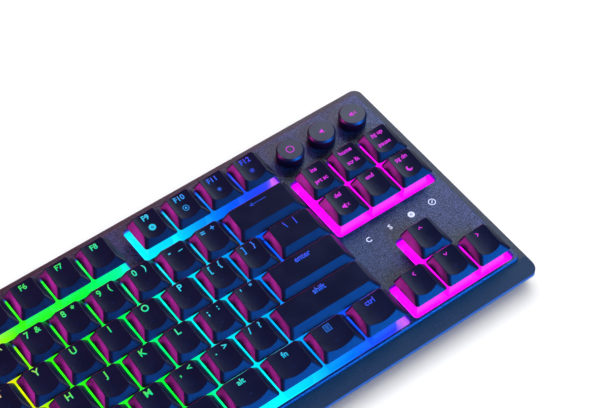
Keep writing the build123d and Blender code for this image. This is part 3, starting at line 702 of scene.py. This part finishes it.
# %% [markdown]
# A loudspeaker is a box and a cone in one outline.  Sound waves are short bars that grow with their
# distance from it, and a cross beside it says that it is muted.

# %% Loudspeaker signs
wave_step = 0.8
wave_width = 0.35
wave_growth = 0.4


def speaker(bm, waves):
    """A loudspeaker cone with sound waves."""
    outline(bm, [(-2.0, -0.6), (-1.1, -0.6), (0.1, -1.5), (0.1, 1.5), (-1.1, 0.6), (-2.0, 0.6)])
    for wave in range(waves):
        left = 0.7 + wave * wave_step
        half_height = 0.6 + wave * wave_growth
        bar(bm, left, -half_height, left + wave_width, half_height)


def muted(bm):
    """A loudspeaker with a cross beside it."""
    speaker(bm, 0)
    outline(bm, [(0.6, -0.8), (0.9, -0.8), (2.2, 0.8), (1.9, 0.8)])
    outline(bm, [(1.9, -0.8), (2.2, -0.8), (0.9, 0.8), (0.6, 0.8)])


keep_sign("quiet", speaker, 0)
keep_sign("loud", speaker, 2)
keep_sign("mute", muted)


# %% [markdown]
# The four arrow keys carry the same open arrowhead.  It is drawn once, pointing up, and turned by
# quarter turns.  The backspace key has a long arrow with a thin shaft.

# %% Arrow signs
def chevron(bm, turns):
    """An open arrowhead, turned by quarter turns from pointing up."""
    outline(bm, [(-1.3, -0.7), (-0.9, -1.0), (0.0, 0.1), (0.0, 0.8)])
    outline(bm, [(0.0, 0.8), (0.0, 0.1), (0.9, -1.0), (1.3, -0.7)])
    bmesh.ops.rotate(bm, cent=(0, 0, 0), matrix=Matrix.Rotation(turns * pi / 2, 3, "Z"), verts=bm.verts)


def long_arrow(bm):
    """The backspace arrow."""
    bar(bm, -3.4, -0.12, 4.6, 0.12)
    outline(bm, [(-4.6, 0.0), (-2.8, -0.95), (-2.5, -0.75), (-4.0, 0.0)])
    outline(bm, [(-4.6, 0.0), (-4.0, 0.0), (-2.5, 0.75), (-2.8, 0.95)])


for turns, direction in enumerate(("up", "left", "down", "right")):
    keep_sign(direction, chevron, turns)
keep_sign("arrow", long_arrow)


# %% [markdown]
# The last signs are a box with lines for the menu key, four plain squares for the system key, and a moon
# for sleep.  The moon's outline is two arcs: the outer one is walked one way, and the inner one back.

# %% Menu, system and sleep signs
menu_reach = 1.7
menu_line = 0.3
pane_size = 1.3
moon_steps = 12
moon_start = 115
moon_sweep = 220
moon_radius = 1.75
bite_radius = 1.15
bite_x = 0.55
bite_y = 0.38


def boxed_lines(bm):
    """The menu sign: a box with three lines."""
    inside = menu_reach - menu_line
    bar(bm, -menu_reach, -menu_reach, -inside, menu_reach)
    bar(bm, inside, -menu_reach, menu_reach, menu_reach)
    bar(bm, -inside, inside, inside, menu_reach)
    bar(bm, -inside, -menu_reach, inside, -inside)
    for height in (-0.75, 0.0, 0.75):
        bar(bm, -0.9, height - menu_line / 2, 0.9, height + menu_line / 2)


def four_panes(bm):
    """A plain sign for the system key: four small squares."""
    for x in (-1.5, 0.2):
        for y in (-1.5, 0.2):
            bar(bm, x, y, x + pane_size, y + pane_size)


def moon(bm):
    """A crescent, open towards the upper right."""
    outer = [radians(moon_start + moon_sweep * step / moon_steps) for step in range(moon_steps + 1)]
    inner = outer[-2:0:-1]
    points = [(moon_radius * cos(angle), moon_radius * sin(angle)) for angle in outer]
    points += [(bite_x + bite_radius * cos(angle), bite_y + bite_radius * sin(angle)) for angle in inner]
    outline(bm, points)


keep_sign("menu", boxed_lines)
keep_sign("panes", four_panes)
keep_sign("moon", moon)


# %% [markdown]
# A legend sits towards the back of its cap.  Letter keys have one character, number and sign keys have
# two side by side, and the navigation keys have two short lines or a word over a sign.  Small functions
# say these patterns.  Each mark is what it shows, its x and y from the cap's middle in millimetres, and
# its size: a text's height in millimetres, or a sign's scale.

# %% Patterns of legends
back_line = 5.1
low_line = -1.3
side_step = 2.7
letter = 4.7
first_of_pair = 4.5
second_of_pair = 4.2
second_rise = 0.2
large_word = 4.0
word = 3.9
escape_word = 3.4
small_word = 3.1


def single(words, size=letter):
    """One character or word."""
    return [(words, 0.0, back_line, size)]


def pair(words):
    """Two characters side by side, the second one smaller and a little higher."""
    return [
        (words[0], -side_step, back_line, first_of_pair),
        (words[1], side_step, back_line + second_rise, second_of_pair),
    ]


def two_lines(first, second):
    """Two short words, one over the other."""
    return [(first, 0.0, back_line, small_word), (second, 0.0, low_line, small_word)]


def alone(sign, size=1.0):
    """A sign where a letter would be."""
    return [(sign, 0.0, back_line, size)]


def below(sign, y, size=1.0):
    """A sign in front of a word."""
    return [(sign, 0.0, y, size)]


print("legends stand", back_line, "mm behind the middle of a cap")

# %% [markdown]
# Keys that share a node are listed from left to right.  The node's name leads to its list, and a node
# with one key has a list of one.

# %% What the main keys say
number_row = "`~ 1! 2@ 3# 4$ 5% 6^ 7& 8* 9( 0) -_ =+".split()
legends = {
    "key_escape": [single("esc", escape_word)],
    "keys_f1_to_f4": [single(f"F{number}", word) for number in range(1, 5)],
    "keys_f5_to_f8": [single(f"F{number}", word) for number in range(5, 9)],
    "keys_f9_to_f12": [
        single("F9", word) + below("full disc", -0.8),
        single("F10", word) + below("dot in ring", -0.7),
        single("F11", word) + below("dim lamp", -0.9),
        single("F12", word) + below("bright lamp", -0.9, 0.9),
    ],
    "keys_number_row": [pair(characters) for characters in number_row],
    "key_backspace": [alone("arrow")],
    "key_tab": [single("tab", word)],
    "keys_upper_row": [single(character) for character in "QWERTYUIOP"] + [pair("[{"), pair("]}")],
    "key_backslash": [pair("\\|")],
    "key_caps_lock": [single("caps", word)],
    "keys_home_row": [single(character) for character in "ASDFGHJKL"] + [pair(";:"), pair("'\"")],
    "key_enter": [single("enter", large_word)],
    "key_left_shift": [single("shift", large_word)],
    "keys_lower_row": [single(character) for character in "ZXCVBNM"] + [pair(",<"), pair(".>"), pair("/?")],
    "key_right_shift": [single("shift", large_word)],
    "key_left_ctrl": [single("ctrl", word)],
    "key_system": [alone("panes")],
    "key_left_alt": [single("alt", word)],
    "key_right_alt": [single("alt", word)],
    "key_function": [single("fn", large_word)],
    "key_menu": [alone("menu")],
    "key_right_ctrl": [single("ctrl", word)],
}
print("main keys with a legend", sum(len(keys) for keys in legends.values()))

# %% [markdown]
# The navigation keys and the arrows have a node each.  The three round buttons behind them carry one
# sign each, in the middle.

# %% What the navigation keys and the buttons say
legends.update({
    "key_insert": [two_lines("ins", "prt sc")],
    "key_home": [two_lines("home", "scr lk")],
    "key_page_up": [two_lines("pg up", "pause")],
    "key_delete": [single("del", small_word) + below("mute", -1.6)],
    "key_end": [single("end", small_word)],
    "key_page_down": [single("pg dn", small_word) + below("moon", -1.6, 0.95)],
})
for direction in ("up", "left", "down", "right"):
    legends[f"key_arrow_{direction}"] = [alone(direction, 0.85)]
legends.update({
    "button_ring": [[("big ring", 0.0, 0.0, 0.95)]],
    "button_volume_down": [[("quiet", 0.8, 0.0, 0.95)]],
    "button_volume_up": [[("loud", 0.0, 0.0, 0.95)]],
})
print("nodes with a legend", len(legends))


# %% [markdown]
# The caps are scooped and tilted, so a flat legend would sink in at one side and float at the other.  A
# Shrinkwrap modifier could pull it down, but it needs the cap as a live target.  Here a ray is dropped
# from each corner, and the corner is put where the ray meets the cap, raised by the thickness of a coat
# of paint.

# %% Lay a drawing on a piece
legend_lift = 0.03 * mm
ray_clearance = 1.0 * mm


def lay_on(piece, support, fallback):
    """Drop every corner of a flat drawing onto a node, or to a given height where it misses."""
    surface = BVHTree.FromPolygons(
        [vert.co for vert in support.data.vertices],
        [tuple(face.vertices) for face in support.data.polygons],
    )
    for vert in piece.data.vertices:
        above = Vector((vert.co.x, vert.co.y, cad_high.z + ray_clearance))
        hit = surface.ray_cast(above, Vector((0, 0, -1)))[0]
        vert.co.z = (hit.z if hit else fallback) + legend_lift


print("rays start", cad_high.z + ray_clearance, "m above the floor")


# %% [markdown]
# All the marks on a node are joined in one mesh, so a row of keys has one legend piece.  Each mark is
# moved to its place before it joins, and its faces are turned to look up.  The mesh is then only a
# surface, so a Solidify modifier gives it the depth of the window in the cap.

# %% Draw marks as one piece
legend_depth = 0.10 * mm


def draw_signs(name, marks, finish, support):
    """One mesh piece from marks given as (what, x, y, size), laid on a node and riding with it."""
    bm = bmesh.new()
    for what, x, y, size in marks:
        is_sign = what in signs
        flat = signs[what].copy() if is_sign else text_mesh(what, size)
        scale = size * mm if is_sign else mm
        grow = Matrix.Diagonal((scale, scale, 1.0, 1.0))
        flat.transform(Matrix.Translation((x, y, 0)) @ grow)
        bm.from_mesh(flat)
        bpy.data.meshes.remove(flat)
    bmesh.ops.triangulate(bm, faces=bm.faces)
    for face in bm.faces:
        face.normal_update()
    bmesh.ops.reverse_faces(bm, faces=[face for face in bm.faces if face.normal.z < 0])
    mesh = bpy.data.meshes.new(name)
    bm.to_mesh(mesh)
    bm.free()
    piece = bpy.data.objects.new(name, mesh)
    scene.collection.objects.link(piece)
    lay_on(piece, nodes[support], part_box(support)[1].z)
    mesh.materials.append(finish)
    wall = piece.modifiers.new("window depth", "SOLIDIFY")
    wall.thickness = legend_depth
    wall.offset = -1.0
    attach(piece, bodies[support])
    print(name, "marks", len(marks), "faces", len(mesh.polygons))
    return piece


print("a legend is", legend_depth, "m deep")


# %% [markdown]
# The places of the caps aren't listed.  A node's box gives its middle, and the keys of a shared node
# stand one key pitch apart, evenly about that middle.  Each legend rides on its key's body, so it goes
# down when the key is pressed.

# %% Legends on the keys and the buttons
legend_pieces = []
for node, keys in legends.items():
    low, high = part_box(node)
    first_x = (low.x + high.x) / 2 - key_pitch * (len(keys) - 1) / 2
    middle_y = (low.y + high.y) / 2
    marks = []
    for number, key in enumerate(keys):
        for what, x, y, size in key:
            marks.append((what, first_x + number * key_pitch + x * mm, middle_y + y * mm, size))
    legend_pieces.append(draw_signs(f"legend_{node}", marks, legend_glow, node))
print("legend pieces", len(legend_pieces))

# %% [markdown]
# Four small marks are printed in white on the cover, each in front of its indicator lamp.  They are made
# the way the legends are, but the print is grey ink with a painted glow: it emits a little light of its
# own, so that it stays white and readable in the coloured light.

# %% Printed marks
ink_grey = (0.2, 0.2, 0.2)
ink_glow_colour = (0.80, 0.82, 0.90, 1.0)
ink_glow_strength = 0.8
marks_before_lenses = 3.4 * mm
lens_width = 1.1 * mm
white_print, _, print_shader = start_material("white print", ink_grey, 0.6)
print_shader.inputs["Emission Color"].default_value = ink_glow_colour
print_shader.inputs["Emission Strength"].default_value = ink_glow_strength
lens_low, lens_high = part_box("indicator_lenses")
mark_y = lens_low.y - marks_before_lenses
printed_signs = [("C", 3.9), ("S", 3.9), ("full disc", 1.0), ("slashed ring", 1.1)]
mark_step = (lens_high.x - lens_low.x - lens_width) / (len(printed_signs) - 1)
mark_x = lens_low.x + lens_width / 2
marks = [
    (what, mark_x + mark_step * place, mark_y, size)
    for place, (what, size) in enumerate(printed_signs)
]
printed = draw_signs("printed_marks", marks, white_print, "top_cover")
for mesh in signs.values():
    bpy.data.meshes.remove(mesh)
print("printed marks", len(marks), "one each", mark_step, "m")

# %% [markdown]
# The studio floor is pale.  So large a white sheet would throw its light back on the keyboard and drown
# the coloured lamps.  The Light Path node tells the camera's rays from all others: the camera sees the
# floor pale, and the keyboard sees it dark.

# %% Floor
floor_size = 6.0
pale_tone = (0.9, 0.9, 0.9)
dark_tone = (0.16, 0.17, 0.20)
pale, pale_tree, pale_shader = start_material("pale floor", pale_tone, 0.9)
ray = add_node(pale_tree, "ShaderNodeLightPath")
tone = add_node(pale_tree, "ShaderNodeMix", data_type="RGBA", A=(*dark_tone, 1.0), B=(*pale_tone, 1.0))
pale_tree.links.new(ray.outputs["Is Camera Ray"], tone.inputs["Factor"])
pale_tree.links.new(tone.outputs["Result"], pale_shader.inputs["Base Color"])

bm = bmesh.new()
under_feet = Matrix.Translation((0, 0, cad_low.z))
bmesh.ops.create_grid(bm, x_segments=1, y_segments=1, size=floor_size, matrix=under_feet)
floor_mesh = bpy.data.meshes.new("floor")
bm.to_mesh(floor_mesh)
bm.free()
floor = bpy.data.objects.new("floor", floor_mesh)
floor_mesh.materials.append(pale)
scene.collection.objects.link(floor)
print("floor", floor_size * 2, "m wide, at height", cad_low.z)

# %% [markdown]
# A weak bluish world fills the shadows.  It is kept far below the lamps, because it reaches every side
# of the keyboard and would flatten its shapes.

# %% World
world_strength = 0.10
world_colour = (0.80, 0.86, 1.0, 1.0)
world = bpy.data.worlds.new("studio")
scene.world = world
world.use_nodes = True
world.node_tree.nodes["Background"].inputs["Color"].default_value = world_colour
world.node_tree.nodes["Background"].inputs["Strength"].default_value = world_strength
print("world strength", world_strength)


# %% [markdown]
# In a real studio each lamp is shaded, so that it lights one thing only.  Light linking does that here:
# a lamp gets a collection, and lights nothing outside it.  The caps, the case and the floor can then
# each have the light that suits them.

# %% Collections for the lamps
def lit_only(name, pieces):
    """A collection that a lamp can be linked to."""
    collection = bpy.data.collections.new(name)
    for piece in pieces:
        collection.objects.link(piece)
    print(name, len(pieces), "pieces")
    return collection


key_nodes = [node for name, node in nodes.items() if name.startswith("key")]
other_nodes = [node for name, node in nodes.items() if not name.startswith("key")]
floor_only = lit_only("floor only", [floor])
keys_only = lit_only("keys only", key_nodes + legend_pieces)
case_only = lit_only("case only", other_nodes + [printed])
keyboard_only = lit_only("keyboard only", key_nodes + other_nodes + legend_pieces + [printed])

# %% [markdown]
# Soft light from behind on the right shines on the caps and on the speckled cover, and leaves their
# front sides dark.  A blue lamp in front and two magenta ones, at the left and behind, colour the sides.
# Two broad suns light the floor evenly.  A panel is given by the direction it stands in, its width and
# its power, so that its light can be tuned without moving it nearer.

# %% Lamps
middle = (cad_low + cad_high) / 2
right_of_middle = Vector((0.06, 0.0, 0.0))
lamp_distance = 1.2
sun_width = radians(60)
white = (1.0, 1.0, 1.0)
cool = (0.72, 0.84, 1.0)
magenta = (1.0, 0.04, 0.72)
back_magenta = (1.0, 0.05, 0.60)
blue = (0.0, 0.19, 1.0)


def toward(x, y, z):
    """A place in a direction from the pieces that the camera looks at."""
    return middle + right_of_middle + Vector((x, y, z)).normalized() * lamp_distance


def aim_lamp(name, data, place, power, colour, lit):
    """A lamp at a place, aimed at the keyboard's middle, which lights one collection."""
    data.energy = power
    data.color = colour
    lamp = bpy.data.objects.new(name, data)
    scene.collection.objects.link(lamp)
    lamp.location = place
    lamp.rotation_euler = (middle - place).to_track_quat("-Z", "Y").to_euler()
    lamp.light_linking.receiver_collection = lit
    print(name, "power", power)


def sun(name, place, power, colour, lit):
    """A broad, soft sun."""
    data = bpy.data.lights.new(name, "SUN")
    data.angle = sun_width
    aim_lamp(name, data, place, power, colour, lit)


def panel(name, place, size, power, colour, lit):
    """A square lamp with a soft edge to its shadow."""
    data = bpy.data.lights.new(name, "AREA")
    data.size = size
    aim_lamp(name, data, place, power, colour, lit)


sun("floor light", Vector((0.2, 0.2, 1.8)), 2.7, white, floor_only)
sun("floor fill", Vector((1.0, -1.0, 1.2)), 1.4, white, floor_only)
panel("soft light", toward(0.85, 0.62, 0.62), 0.7, 10.0, cool, case_only)
panel("key light", toward(0.95, 0.55, 0.60), 0.6, 3.5, cool, keys_only)
panel("magenta gel", toward(-0.80, 0.42, 0.36), 0.5, 12.0, magenta, keyboard_only)
panel("back gel", toward(0.30, 0.95, 0.24), 0.5, 5.0, back_magenta, keyboard_only)
panel("blue gel", toward(0.37, -0.80, 0.55), 0.8, 55.0, blue, keyboard_only)
